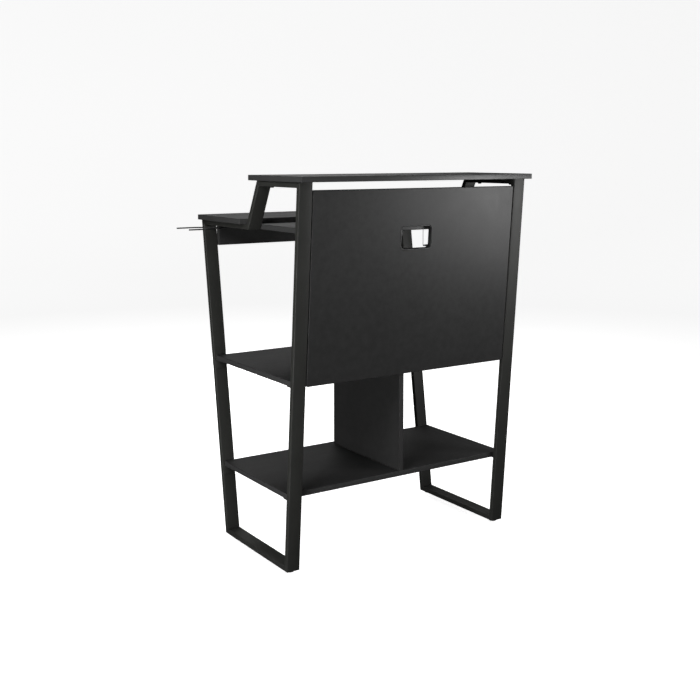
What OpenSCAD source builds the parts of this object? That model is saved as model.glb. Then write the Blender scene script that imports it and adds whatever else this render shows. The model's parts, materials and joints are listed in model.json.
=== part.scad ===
// Tall standing work table: two leaning closed-loop side frames of flat tube carry a work surface,
// a raised shelf over it, a back panel with a cable hole, and two storage shelves with a divider.
// Origin: middle of the object's outline, on the floor. +X is the user's right, +Y the back, +Z up.

/* [Side frames] */
// Distance between the outer faces of the two side frames
frame_w = 769; // [700:1:900]
// Height of the frames' top, which carries the raised shelf
frame_top = 1059.5; // [1000:0.5:1120]
// Height of the side rails' top, which carries the work surface
rail_top = 937; // [880:1:960]
// Width of the frame tube, across the table
tube_w = 40; // [30:1:50]
// Thickness of the frame tube, in the plane of the frame
tube_t = 15; // [15:1:20]
// Wall of the frame tube
tube_wall = 1.5; // [1:0.1:2]
// Outer face of the front leg at its foot, along Y
front_foot_y = -165.5; // [-175:0.5:-155]
// Lean of the front leg, forwards as it rises, in degrees
front_lean = 8.2; // [6:0.1:10]
// Outer face of the rear leg at its foot, along Y
rear_foot_y = 199; // [190:0.5:205]
// Lean of the rear leg, backwards as it rises, in degrees
rear_lean = 4.2; // [3:0.1:6]
// Front face of the riser post at its top, along Y
post_top_y = 48; // [30:1:60]
// Lean of the riser post, backwards as it rises, in degrees
post_lean = 26.6; // [20:0.1:30]

/* [Boards] */
// Thickness of every board
board_t = 15; // [15:1:18]
// Width of the work surface
surface_w = 800; // [790:1:900]
// Front edge of the work surface, along Y
surface_front_y = -293.5; // [-300:0.5:-285]
// Depth of the work surface
surface_d = 268.5; // [250:0.5:275]
// Width of the raised top shelf
top_shelf_w = 783; // [775:1:900]
// Front edge of the raised top shelf, along Y
top_shelf_front_y = 11.5; // [0:0.5:20]
// Depth of the raised top shelf
top_shelf_d = 288; // [280:1:290]
// Width of the middle and lower shelves
shelf_w = 761; // [700:1:765]
// Height of the middle shelf's top
middle_top = 534.5; // [500:0.5:560]
// Height of the lower shelf's top
lower_top = 222.5; // [200:0.5:240]
// Gap between a shelf's edge and the leg beside it
shelf_gap = 4; // [3:0.5:6]
// Inset of the divider from the lower shelf's front edge
divider_inset = 21; // [10:1:40]
// Height of the front apron under the deck board
apron_h = 63; // [50:1:90]
// Back face of the front apron, along Y
apron_back_y = -266.5; // [-270:0.5:-266]
// Height of the back panel's bottom edge
panel_bottom = 517.5; // [510:0.5:518.5]
// Gap between the back panel's top edge and the raised shelf
panel_top_gap = 22; // [15:1:40]

/* [Cable hole] */
// Width of the cable hole in the back panel
cable_w = 106; // [80:1:140]
// Height of the cable hole
cable_h = 64; // [40:1:80]
// Corner radius of the cable hole
cable_r = 12; // [6:1:20]
// Centre of the cable hole, along X
cable_x = 3; // [-10:1:10]
// Height of the cable hole's centre
cable_z = 902; // [880:1:905]

/* [Glides] */
// Diameter of a levelling glide's pad
glide_d = 25; // [20:1:32]
// Height of the frames' underside above the floor, with the glides screwed in
glide_h = 5; // [4:0.5:8]
// Distance from the end of the runner to the glide's centre
glide_inset = 19; // [17:1:30]

/* [Headphone hook] */
// Wire diameter of the headphone hook
hook_wire = 4; // [3:0.5:6]
// Spread of the hook's two arms, centre to centre
hook_spread = 84; // [60:1:100]
// Middle of the hook, along Y
hook_y = -211.5; // [-216:0.5:-200]
// Tips of the hook, along X
hook_reach = 487; // [470:1:500]

/* [Cup holder] */
// Outer radius of the cup holder's ring
cup_r = 42; // [38:1:48]
// Height of the cup holder's ring
cup_ring_h = 14; // [10:1:16]
// Depth of the cup holder from its ring's top to its base
cup_depth = 97; // [80:1:110]
// Middle of the cup holder, along Y
cup_y = -224.5; // [-226:0.5:-215]

/* [Hidden] */
$fn = 48;
eps = 1;                       // how far a cutter runs past the face that it cuts
fit = 0.05;                    // radial play of a screw or dowel in its hole
body_gap = 0.3;                // air between a glide's pad and the frame above it

frame_x = frame_w / 2;         // outer face of a side frame
inner_x = frame_x - tube_w;    // inner face of a side frame
tube_x = frame_x - tube_w / 2; // middle of a side frame

function front_y(z) = front_foot_y - tan(front_lean) * (z - glide_h);
function rear_y(z) = rear_foot_y + tan(rear_lean) * (z - glide_h);
function post_y(z) = post_top_y - tan(post_lean) * (frame_top - z);
// Inner face of the front leg (front = true) or the rear leg, at height z
function leg_inner_y(front, z) =
  front ? front_y(z) + tube_t / cos(front_lean) : rear_y(z) - tube_t / cos(rear_lean);

// Outer outline of a side frame in the YZ plane, clockwise from the front foot
outline = [
  [front_y(glide_h), glide_h],
  [front_y(rail_top), rail_top],
  [post_y(rail_top), rail_top],
  [post_y(frame_top), frame_top],
  [rear_y(frame_top), frame_top],
  [rear_y(glide_h), glide_h]
];
corners = len(outline);
function corner(i) = outline[(i + corners) % corners];
function along(i) = let (d = corner(i + 1) - corner(i)) d / norm(d);
function inward(i) = let (u = along(i)) [u[1], -u[0]];
// Corner i of the outline moved inwards by d, on the mitre line
function mitred(i, d) = let (a = inward(i - 1), b = inward(i)) corner(i) + d * (a + b) / (1 + a * b);

// Members of the side frame, by the outline's corner where each one starts
FRONT_LEG = 0;
SIDE_RAIL = 1;
RISER_POST = 2;
TOP_RAIL = 3;
REAR_LEG = 4;
RUNNER = 5;

// Places of the joints and fasteners
glide_y = [front_foot_y + glide_inset, rear_foot_y - glide_inset];
surface_bolt_y = [-262, -67];
top_bolt_y = [98, 238];
tab_t = 3;                     // thickness of the steel tabs
tab_w = 30;                    // width of a shelf tab
tab_len = 25;                  // how far a shelf tab reaches under its board
tab_drop = 25;                 // how far a shelf tab runs down the leg
tab_screw = 15;                // from the leg's face to the screw in a shelf tab
deck_tab_w = 22;
deck_tab_y = [-255, -57];
deck_tab_x = [inner_x - 34, inner_x + 6];
deck_screw_x = inner_x - 20;
panel_tab_z = [600, 770, 1000];
panel_tab_h = 28;
panel_tab_x = [inner_x - 26, inner_x + 26];
panel_screw_x = inner_x - 14;
deck_angle_x = 220;            // middle of each angle between the deck board and the panel
angle_screw_drop = 15;         // from the deck's underside to the screw in an angle's other leg
board_gap = 0.5;               // play between the deck or apron and the side frames
deck_back_gap = 1.2;           // play behind the deck board, which clears the grommet's lip
panel_gap = 3;                 // play between the panel's ends and the rear legs
divider_screw_y = [-107, 13, 153];
divider_dowel_y = [-87, 33, 133];
apron_screw_x = [-280, -110, 110, 280];
apron_dowel_x = [-200, 200];

// Fastener sizes
screw_r = 2;                   // wood screws through the tabs
screw_head_r = 4;
screw_head_h = 2.5;
screw_len = 14;
long_screw_r = 3;              // long screws into the board edges
long_screw_head_r = 5;
long_screw_len = 50;
bolt_r = 3;                    // machine screws through the tubes
bolt_head_r = 6;
bolt_head_h = 3.5;
insert_r = 4.5;
insert_len = 11;
bolt_len = tube_t + insert_len - 1;
dowel_r = 4;
dowel_len = 30;
dowel_in = 11;                 // part of a dowel that is in the board's face
stud_r = 4;
stud_len = 11;                 // stud above the frame's underside
nut_r = 7;
nut_h = 8;
recess_d = 1.2;                // depth of the cross recess in a screw head
recess_w = 1;

deck_z = rail_top - board_t;   // underside of the deck board, the side rails and the apron's top
deck_front_y = apron_back_y - board_t;
panel_top = frame_top - panel_top_gap;
plate_t = 4;                   // thickness of the headphone hook's plate
plate_d = 48;
plate_x = [inner_x - 60, inner_x - 4];
plate_screw_x = [plate_x[0] + 10, plate_x[1] - 10];
plate_screw_y = [hook_y - 17, hook_y + 17];
hook_z = deck_z - plate_t - hook_wire / 2;
hook_root = 6;                 // half the spacing of the arms under the rail
hook_bend_x = [inner_x + 6, 430];
hook_bend_r = 25;              // bend radius where the arms spread
hook_end_r = 5.5;              // bend radius at the root, where the wire turns back
hook_root_x = plate_x[0] + 12;
wire_step = 15;                // turn between two rings of the wire, in degrees
wire_sides = 16;
wire_chamfer = 0.8;            // at the wire's ends
cup_t = 1.2;                   // thickness of the ring band and straps
cup_x = -hook_reach + cup_r;   // middle of the cup holder
cup_strap_angle = [37, 143, 217, 323];
cup_strap_arc = 17;
cup_base_t = 2;
cup_base_hole_r = 12;
cup_arm_w = 34;
cup_arm_end_x = -inner_x + 60;
cup_screw_x = [cup_arm_end_x - 12, cup_arm_end_x - 44];
cup_screw_y = [cup_y - 9, cup_y + 9];

frame_colour = [0.10, 0.10, 0.105];
board_colour = [0.13, 0.13, 0.13];
plastic_colour = [0.06, 0.06, 0.06];
steel_colour = [0.55, 0.56, 0.58];
black_steel_colour = [0.16, 0.16, 0.17];
brass_colour = [0.75, 0.6, 0.3];
dowel_colour = [0.8, 0.65, 0.45];

// Helpers

// Children on the right (s = 1) or mirrored to the left (s = -1)
module on_side(s) {
  if (s > 0) children();
  else mirror([1, 0, 0]) children();
}

// A YZ outline extruded along X from x0 to x1
module extrude_x(x0, x1) {
  translate([x0, 0, 0]) rotate([90, 0, 90]) linear_extrude(x1 - x0) children();
}

// A box from its lowest to its highest corner
module box(lo, hi) {
  translate(lo) cube(hi - lo);
}

// The rear leg's leaning frame: Y is square to the panel (0 at its back face), Z runs up the leg
module panel_frame() {
  translate([0, rear_foot_y, glide_h]) rotate([-rear_lean, 0, 0]) children();
}
function up_panel(z) = (z - glide_h) / cos(rear_lean);

// Cross recess cut down from z = 0
module cross_recess(r) {
  for (a = [0, 90])
    rotate([0, 0, a]) translate([-r * 0.6, -recess_w / 2, -recess_d]) cube([r * 1.2, recess_w, recess_d + eps]);
}

// Pan-head screw: the head is below z = 0 and the shank rises from it
module pan_screw(r, len, head_r, head_h) {
  difference() {
    union() {
      cylinder(r = r, h = len);
      translate([0, 0, -head_h]) cylinder(r1 = head_r * 0.8, r2 = head_r, h = head_h);
    }
    translate([0, 0, -head_h]) mirror([0, 0, 1]) cross_recess(head_r * 0.8);
  }
}

// Countersunk screw with its head's face at z = 0 and its shank up
module flat_screw(r, len, head_r) {
  difference() {
    union() {
      cylinder(r = r, h = len);
      cylinder(r1 = head_r, r2 = r, h = head_r - r);
    }
    mirror([0, 0, 1]) cross_recess(head_r * 0.8);
  }
}
// The hole that a countersunk screw fills
module flat_screw_hole(r, len, head_r) {
  translate([0, 0, -eps]) cylinder(r = r + fit, h = len + eps);
  cylinder(r1 = head_r + fit, r2 = r + fit, h = head_r - r);
  translate([0, 0, -eps]) cylinder(r = head_r + fit, h = eps);
}

module pan_head_screw() {
  pan_screw(screw_r, screw_len, screw_head_r, screw_head_h);
}
module screw_hole(depth) {
  translate([0, 0, -eps]) cylinder(r = screw_r + fit, h = depth + eps);
}

module rounded_slab(w, h, r, t) {
  linear_extrude(t) {
    square([w - 2 * r, h], center = true);
    square([w, h - 2 * r], center = true);
    for (sx = [-1, 1], sy = [-1, 1])
      translate([sx * (w / 2 - r), sy * (h / 2 - r)]) circle(r = r);
  }
}

// Side frames

// One hollow tube of the side frame, mitred to its neighbours
module tube(i) {
  reach = tube_w;
  difference() {
    extrude_x(inner_x, frame_x)
      polygon([corner(i), corner(i + 1), mitred(i + 1, tube_t), mitred(i, tube_t)]);
    extrude_x(inner_x + tube_wall, frame_x - tube_wall)
      polygon([
        corner(i) + tube_wall * inward(i) - reach * along(i),
        corner(i + 1) + tube_wall * inward(i) + reach * along(i),
        corner(i + 1) + (tube_t - tube_wall) * inward(i) + reach * along(i),
        corner(i) + (tube_t - tube_wall) * inward(i) - reach * along(i)
      ]);
  }
}

module runner(s) {
  color(frame_colour) on_side(s) difference() {
    tube(RUNNER);
    for (y = glide_y)
      translate([tube_x, y, glide_h - eps]) cylinder(r = stud_r + 0.3, h = tube_wall + 2 * eps);
  }
}
module front_leg(s) {
  color(frame_colour) on_side(s) tube(FRONT_LEG);
}
module side_rail(s) {
  color(frame_colour) on_side(s) difference() {
    tube(SIDE_RAIL);
    for (y = surface_bolt_y)
      translate([tube_x, y, deck_z - eps]) cylinder(r = bolt_r + 0.3, h = tube_t + 2 * eps);
  }
}
module riser_post(s) {
  color(frame_colour) on_side(s) tube(RISER_POST);
}
module top_rail(s) {
  color(frame_colour) on_side(s) difference() {
    tube(TOP_RAIL);
    for (y = top_bolt_y)
      translate([tube_x, y, frame_top - tube_t - eps]) cylinder(r = bolt_r + 0.3, h = tube_t + 2 * eps);
  }
}
module rear_leg(s) {
  color(frame_colour) on_side(s) tube(REAR_LEG);
}

// Tabs welded to the frames

// L-shaped outline of a tab on the front or rear leg, under a board whose underside is at z
function tab_outline(front, z) =
  let (
    s = front ? 1 : -1,
    t = s * tab_t / cos(front ? front_lean : rear_lean),
    face = leg_inner_y(front, z)
  )
  [
    [face, z],
    [face + s * tab_len, z],
    [face + s * tab_len, z - tab_t],
    [leg_inner_y(front, z - tab_t) + t, z - tab_t],
    [leg_inner_y(front, z - tab_drop) + t, z - tab_drop],
    [leg_inner_y(front, z - tab_drop), z - tab_drop]
  ];
function tab_screw_y(front, z) = leg_inner_y(front, z) + (front ? tab_screw : -tab_screw);

module at_shelf_screws(z) {
  for (s = [-1, 1], front = [true, false])
    translate([s * tube_x, tab_screw_y(front, z), z - tab_t]) children();
}
module shelf_tabs(z) {
  color(frame_colour) difference() {
    for (s = [-1, 1], front = [true, false])
      extrude_x(s * tube_x - tab_w / 2, s * tube_x + tab_w / 2) polygon(tab_outline(front, z));
    at_shelf_screws(z) screw_hole(tab_t + eps);
  }
}
module lower_shelf_tabs() {
  shelf_tabs(lower_top - board_t);
}
module middle_shelf_tabs() {
  shelf_tabs(middle_top - board_t);
}

module at_deck_tabs() {
  for (s = [-1, 1], y = deck_tab_y) translate([s * deck_screw_x, y, deck_z - tab_t]) children();
}
module deck_tabs() {
  color(frame_colour) difference() {
    for (s = [-1, 1], y = deck_tab_y)
      on_side(s) box(
        [deck_tab_x[0], y - deck_tab_w / 2, deck_z - tab_t],
        [deck_tab_x[1], y + deck_tab_w / 2, deck_z]
      );
    at_deck_tabs() screw_hole(tab_t + eps);
  }
}

// Screws that run square into the panel's front face, through steel that is tab_t thick
module at_panel_screw(x, z) {
  panel_frame() translate([x, -tube_t - tab_t, up_panel(z)]) rotate([-90, 0, 0]) children();
}
module at_panel_tabs() {
  for (s = [-1, 1], z = panel_tab_z) at_panel_screw(s * panel_screw_x, z) children();
}
module panel_tabs() {
  color(frame_colour) difference() {
    for (s = [-1, 1], z = panel_tab_z)
      on_side(s) panel_frame() box(
        [panel_tab_x[0], -tube_t - tab_t, up_panel(z) - panel_tab_h / 2],
        [panel_tab_x[1], -tube_t, up_panel(z) + panel_tab_h / 2]
      );
    at_panel_tabs() screw_hole(tab_t + eps);
  }
}

// Angles that tie the deck board to the panel
module at_angle_deck_screws() {
  for (s = [-1, 1]) translate([s * deck_angle_x, tab_screw_y(false, deck_z), deck_z - tab_t]) children();
}
module at_angle_panel_screws() {
  for (s = [-1, 1]) at_panel_screw(s * deck_angle_x, deck_z - angle_screw_drop) children();
}
module deck_angles() {
  color(black_steel_colour) difference() {
    for (s = [-1, 1])
      extrude_x(s * deck_angle_x - tab_w / 2, s * deck_angle_x + tab_w / 2)
        polygon(tab_outline(false, deck_z));
    at_angle_deck_screws() screw_hole(tab_t + eps);
    at_angle_panel_screws() screw_hole(tab_t + eps);
  }
}

// Boards

module top_shelf() {
  color(board_colour) difference() {
    box(
      [-top_shelf_w / 2, top_shelf_front_y, frame_top],
      [top_shelf_w / 2, top_shelf_front_y + top_shelf_d, frame_top + board_t]
    );
    at_top_bolts() translate([0, 0, -eps]) cylinder(r = insert_r, h = insert_len + eps);
  }
}
module work_surface() {
  color(board_colour) difference() {
    box(
      [-surface_w / 2, surface_front_y, rail_top],
      [surface_w / 2, surface_front_y + surface_d, rail_top + board_t]
    );
    at_surface_bolts() translate([0, 0, -eps]) cylinder(r = insert_r, h = insert_len + eps);
  }
}
module deck_board() {
  color(board_colour) difference() {
    box(
      [-inner_x + board_gap, deck_front_y, deck_z],
      [inner_x - board_gap, leg_inner_y(false, deck_z) - deck_back_gap, rail_top]
    );
    at_deck_tabs() screw_hole(screw_len + eps);
    at_angle_deck_screws() screw_hole(screw_len + eps);
    at_hook_screws() screw_hole(screw_len + eps);
    at_cup_screws() screw_hole(screw_len + eps);
    at_apron_screws() flat_screw_hole(long_screw_r, long_screw_len, long_screw_head_r);
    at_apron_dowels() cylinder(r = dowel_r + fit, h = dowel_in);
  }
}
module front_apron() {
  color(board_colour) difference() {
    box(
      [-inner_x + board_gap, deck_front_y, deck_z - apron_h],
      [inner_x - board_gap, apron_back_y, deck_z]
    );
    at_apron_screws() flat_screw_hole(long_screw_r, long_screw_len + eps, long_screw_head_r);
    at_apron_dowels() translate([0, 0, dowel_in - dowel_len]) cylinder(r = dowel_r + fit, h = dowel_len);
  }
}
module middle_shelf() {
  z = middle_top - board_t;
  color(board_colour) difference() {
    box(
      [-shelf_w / 2, leg_inner_y(true, middle_top) + shelf_gap, z],
      [shelf_w / 2, leg_inner_y(false, z) - board_gap, middle_top]
    );
    at_shelf_screws(z) screw_hole(screw_len + eps);
    at_divider_dowels()
      translate([0, 0, dowel_len - dowel_in - eps]) cylinder(r = dowel_r + fit, h = dowel_in + eps);
  }
}
lower_front_y = leg_inner_y(true, lower_top - board_t) + shelf_gap;
module lower_shelf() {
  z = lower_top - board_t;
  color(board_colour) difference() {
    box(
      [-shelf_w / 2, lower_front_y, z],
      [shelf_w / 2, leg_inner_y(false, z) - shelf_gap, lower_top]
    );
    at_shelf_screws(z) screw_hole(screw_len + eps);
    at_divider_screws() flat_screw_hole(long_screw_r, board_t + eps, long_screw_head_r);
  }
}
module divider() {
  color(board_colour) difference() {
    box(
      [-board_t / 2, lower_front_y + divider_inset, lower_top],
      [board_t / 2, leg_inner_y(false, lower_top - board_t) - shelf_gap, middle_top - board_t]
    );
    at_divider_screws() cylinder(r = long_screw_r + fit, h = long_screw_len + eps);
    at_divider_dowels() cylinder(r = dowel_r + fit, h = dowel_len);
  }
}
module back_panel() {
  half_w = inner_x - panel_gap;
  color(board_colour) difference() {
    panel_frame() box([-half_w, -tube_t, up_panel(panel_bottom)], [half_w, 0, up_panel(panel_top)]);
    at_cable_hole(-tube_t - eps) rounded_slab(cable_w, cable_h, cable_r, tube_t + 2 * eps);
    at_panel_tabs() screw_hole(screw_len + eps);
    at_angle_panel_screws() screw_hole(screw_len + eps);
  }
}

// The cable hole's frame: its Z runs from the panel's front face, at -tube_t, to its back face, at 0
module at_cable_hole(depth) {
  panel_frame() translate([cable_x, depth, up_panel(cable_z)]) rotate([-90, 0, 0]) children();
}
lip = 2.5;                     // how far the grommet's lips cover the panel
lip_t = 0.8;
liner_t = 1.5;
module cable_grommet() {
  color(plastic_colour) difference() {
    union() {
      at_cable_hole(-tube_t) rounded_slab(cable_w, cable_h, cable_r, tube_t);
      for (depth = [-tube_t - lip_t, 0])
        at_cable_hole(depth) rounded_slab(cable_w + 2 * lip, cable_h + 2 * lip, cable_r + lip, lip_t);
    }
    at_cable_hole(-tube_t - lip_t - eps)
      rounded_slab(cable_w - 2 * liner_t, cable_h - 2 * liner_t, cable_r - liner_t, tube_t + 2 * (lip_t + eps));
  }
}

// Fasteners

module lower_shelf_screws() {
  color(black_steel_colour) at_shelf_screws(lower_top - board_t) pan_head_screw();
}
module middle_shelf_screws() {
  color(black_steel_colour) at_shelf_screws(middle_top - board_t) pan_head_screw();
}
module deck_screws() {
  color(black_steel_colour) {
    at_deck_tabs() pan_head_screw();
    at_angle_deck_screws() pan_head_screw();
  }
}
module panel_screws() {
  color(black_steel_colour) {
    at_panel_tabs() pan_head_screw();
    at_angle_panel_screws() pan_head_screw();
  }
}
// Long screws from the deck board's top down into the apron
module at_apron_screws() {
  for (x = apron_screw_x) translate([x, apron_back_y - board_t / 2, rail_top]) mirror([0, 0, 1]) children();
}
module apron_screws() {
  color(black_steel_colour) at_apron_screws() flat_screw(long_screw_r, long_screw_len, long_screw_head_r);
}
// Dowels between the apron's top edge, at z = 0 here, and the deck board
module at_apron_dowels() {
  for (x = apron_dowel_x) translate([x, apron_back_y - board_t / 2, deck_z]) children();
}
module apron_dowels() {
  color(dowel_colour) at_apron_dowels()
    translate([0, 0, dowel_in - dowel_len]) cylinder(r = dowel_r, h = dowel_len - fit);
}
// Long screws from the lower shelf's underside up into the divider
module at_divider_screws() {
  for (y = divider_screw_y) translate([0, y, lower_top - board_t]) children();
}
module divider_screws() {
  color(black_steel_colour) at_divider_screws() flat_screw(long_screw_r, long_screw_len, long_screw_head_r);
}
// Dowels between the divider's top edge and the middle shelf, from each dowel's lower end
module at_divider_dowels() {
  for (y = divider_dowel_y)
    translate([0, y, middle_top - board_t + dowel_in - dowel_len]) children();
}
module divider_dowels() {
  color(dowel_colour) at_divider_dowels() cylinder(r = dowel_r, h = dowel_len - fit);
}

// Machine screws through the top rails and side rails into threaded inserts in the boards
module at_top_bolts() {
  for (s = [-1, 1], y = top_bolt_y) translate([s * tube_x, y, frame_top]) children();
}
module at_surface_bolts() {
  for (s = [-1, 1], y = surface_bolt_y) translate([s * tube_x, y, rail_top]) children();
}
module rail_bolt() {
  translate([0, 0, -tube_t]) pan_screw(bolt_r, bolt_len, bolt_head_r, bolt_head_h);
}
module threaded_insert() {
  difference() {
    cylinder(r = insert_r, h = insert_len);
    translate([0, 0, -eps]) cylinder(r = bolt_r + fit, h = insert_len + 2 * eps);
  }
}
module top_shelf_bolts() {
  color(black_steel_colour) at_top_bolts() rail_bolt();
}
module top_shelf_inserts() {
  color(brass_colour) at_top_bolts() threaded_insert();
}
module work_surface_bolts() {
  color(black_steel_colour) at_surface_bolts() rail_bolt();
}
module work_surface_inserts() {
  color(brass_colour) at_surface_bolts() threaded_insert();
}

// Levelling glides: each stud screws into a nut welded inside the runner

module at_glide(s, rear) {
  translate([s * tube_x, glide_y[rear ? 1 : 0], 0]) children();
}
module glide_nuts() {
  color(steel_colour) for (s = [-1, 1], rear = [false, true])
    at_glide(s, rear) translate([0, 0, glide_h + tube_wall]) difference() {
      cylinder(r = nut_r, h = nut_h);
      translate([0, 0, -eps]) cylinder(r = stud_r + fit, h = nut_h + 2 * eps);
    }
}
pad_h = glide_h - body_gap;
stud_foot_r = 8;               // head of the stud, moulded into the pad
stud_foot_h = 1.5;
stud_foot_z = pad_h - stud_foot_h;
pad_chamfer = 1;
module glide_pad(s, rear) {
  r = glide_d / 2;
  color(plastic_colour) at_glide(s, rear) rotate_extrude() polygon([
    [0, 0], [r - pad_chamfer, 0], [r, pad_chamfer], [r, pad_h - pad_chamfer], [r - pad_chamfer, pad_h],
    [stud_foot_r, pad_h], [stud_foot_r, stud_foot_z], [0, stud_foot_z]
  ]);
}
module glide_stud(s, rear) {
  color(steel_colour) at_glide(s, rear) {
    translate([0, 0, stud_foot_z]) cylinder(r = stud_foot_r, h = stud_foot_h);
    translate([0, 0, stud_foot_z]) cylinder(r = stud_r, h = glide_h - stud_foot_z + stud_len);
  }
}

// Headphone hook: one wire, welded under a plate and spread into two arms beside the table

function heading(p, i) = let (d = p[i + 1] - p[i]) atan2(d[1], d[0]);
function turned(p, i) = let (a = heading(p, i) - heading(p, i - 1)) a - 360 * round(a / 360);
// Length that the bend at point i takes from each straight beside it
function bend_trim(p, bends, i) =
  i == 0 || i == len(p) - 1 ? 0 : bends[i - 1] * tan(abs(turned(p, i)) / 2);
// Points round the bend at inner point i
function bend_points(p, bends, i) =
  let (
    t = turned(p, i), side = sign(t), a = heading(p, i - 1), steps = ceil(abs(t) / wire_step),
    start = p[i] - [cos(a), sin(a)] * bend_trim(p, bends, i),
    centre = start + [-sin(a), cos(a)] * side * bends[i - 1]
  )
  [for (k = [0 : steps]) centre + bends[i - 1] * side * [sin(a + t * k / steps), -cos(a + t * k / steps)]];
function unit(v) = v / norm(v);
function tangent(q, j) =
  unit((j > 0 ? unit(q[j] - q[j - 1]) : [0, 0]) + (j < len(q) - 1 ? unit(q[j + 1] - q[j]) : [0, 0]));
// Round wire in the XY plane along the points p, with a bend radius for each inner point
module bent_wire(p, bends, r) {
  last = len(p) - 1;
  bent = [for (i = [1 : last - 1]) each bend_points(p, bends, i)];
  q = concat(
    [p[0], p[0] + unit(p[1] - p[0]) * wire_chamfer], bent,
    [p[last] + unit(p[last - 1] - p[last]) * wire_chamfer, p[last]]
  );
  rings = len(q);
  n = wire_sides;
  points = [for (j = [0 : rings - 1], k = [0 : n - 1])
    let (u = tangent(q, j), f = 360 * k / n, w = j == 0 || j == rings - 1 ? r - wire_chamfer : r)
    [q[j][0] - u[1] * w * cos(f), q[j][1] + u[0] * w * cos(f), w * sin(f)]];
  sides = [for (j = [0 : rings - 2], k = [0 : n - 1])
    [j * n + k, j * n + (k + 1) % n, (j + 1) * n + (k + 1) % n, (j + 1) * n + k]];
  ends = [[for (k = [n - 1 : -1 : 0]) k], [for (k = [0 : n - 1]) (rings - 1) * n + k]];
  polyhedron(points, concat(sides, ends), convexity = 4);
}
hook_arm = [
  [hook_reach, hook_spread / 2], [hook_bend_x[1], hook_spread / 2],
  [hook_bend_x[0], hook_root], [hook_root_x, hook_root]
];
hook_path = concat(hook_arm, [for (i = [len(hook_arm) - 1 : -1 : 0]) [hook_arm[i][0], -hook_arm[i][1]]]);
hook_bends = [hook_bend_r, hook_bend_r, hook_end_r, hook_end_r, hook_bend_r, hook_bend_r];
module headphone_hook() {
  color(black_steel_colour) translate([0, hook_y, hook_z])
    bent_wire(hook_path, hook_bends, hook_wire / 2);
}
module at_hook_screws() {
  for (x = plate_screw_x, y = plate_screw_y) translate([x, y, deck_z - plate_t]) children();
}
module hook_plate() {
  color(black_steel_colour) difference() {
    box([plate_x[0], hook_y - plate_d / 2, deck_z - plate_t], [plate_x[1], hook_y + plate_d / 2, deck_z]);
    at_hook_screws() screw_hole(plate_t + eps);
  }
}
module hook_screws() {
  color(black_steel_colour) at_hook_screws() pan_head_screw();
}

// Cup holder: ring, straps and base hung from an arm under the left side rail

module at_cup() {
  translate([cup_x, cup_y, deck_z]) children();
}
module cup_ring() {
  color(black_steel_colour) at_cup() translate([0, 0, -cup_ring_h]) difference() {
    cylinder(r = cup_r, h = cup_ring_h, $fn = 96);
    translate([0, 0, -eps]) cylinder(r = cup_r - cup_t, h = cup_ring_h + 2 * eps, $fn = 96);
  }
}
module cup_straps() {
  color(black_steel_colour) at_cup() for (a = cup_strap_angle)
    rotate([0, 0, a - cup_strap_arc / 2])
      rotate_extrude(angle = cup_strap_arc, $fn = 96)
        translate([cup_r - 2 * cup_t, -cup_depth]) square([cup_t, cup_depth]);
}
module cup_base() {
  color(black_steel_colour) at_cup() translate([0, 0, -cup_depth - cup_base_t]) difference() {
    cylinder(r = cup_r - cup_t, h = cup_base_t, $fn = 96);
    translate([0, 0, -eps]) cylinder(r = cup_base_hole_r, h = cup_base_t + 2 * eps);
  }
}
module at_cup_screws() {
  for (x = cup_screw_x, y = cup_screw_y) translate([x, y, deck_z - tab_t]) children();
}
module cup_arm() {
  color(black_steel_colour) difference() {
    box([cup_x, cup_y - cup_arm_w / 2, deck_z - tab_t], [cup_arm_end_x, cup_y + cup_arm_w / 2, deck_z]);
    at_cup() translate([0, 0, -tab_t - eps]) cylinder(r = cup_r, h = tab_t + 2 * eps, $fn = 96);
    at_cup_screws() screw_hole(tab_t + eps);
  }
}
module cup_screws() {
  color(black_steel_colour) at_cup_screws() pan_head_screw();
}

runner(1);  // right_runner
front_leg(1);  // right_front_leg
side_rail(1);  // right_side_rail
riser_post(1);  // right_riser_post
top_rail(1);  // right_top_rail
rear_leg(1);  // right_rear_leg
runner(-1);  // left_runner
front_leg(-1);  // left_front_leg
side_rail(-1);  // left_side_rail
riser_post(-1);  // left_riser_post
top_rail(-1);  // left_top_rail
rear_leg(-1);  // left_rear_leg
top_shelf();
work_surface();
deck_board();
front_apron();
middle_shelf();
lower_shelf();
divider();
back_panel();
cable_grommet();
lower_shelf_tabs();
middle_shelf_tabs();
deck_tabs();
panel_tabs();
deck_angles();
lower_shelf_screws();
middle_shelf_screws();
deck_screws();
panel_screws();
apron_screws();
divider_screws();
divider_dowels();
apron_dowels();
top_shelf_bolts();
top_shelf_inserts();
work_surface_bolts();
work_surface_inserts();
glide_nuts();
glide_pad(1, false);  // front_right_pad
glide_stud(1, false);  // front_right_stud
glide_pad(1, true);  // rear_right_pad
glide_stud(1, true);  // rear_right_stud
glide_pad(-1, false);  // front_left_pad
glide_stud(-1, false);  // front_left_stud
glide_pad(-1, true);  // rear_left_pad
glide_stud(-1, true);  // rear_left_stud
headphone_hook();
hook_plate();
hook_screws();
cup_ring();
cup_straps();
cup_base();
cup_arm();
cup_screws();
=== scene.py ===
"""Looks of a tall standing work table: banded boards, round-cornered tubes, moulded and bent parts."""

import json
import math

import bmesh
import bpy
from mathutils import Matrix, Vector


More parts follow.
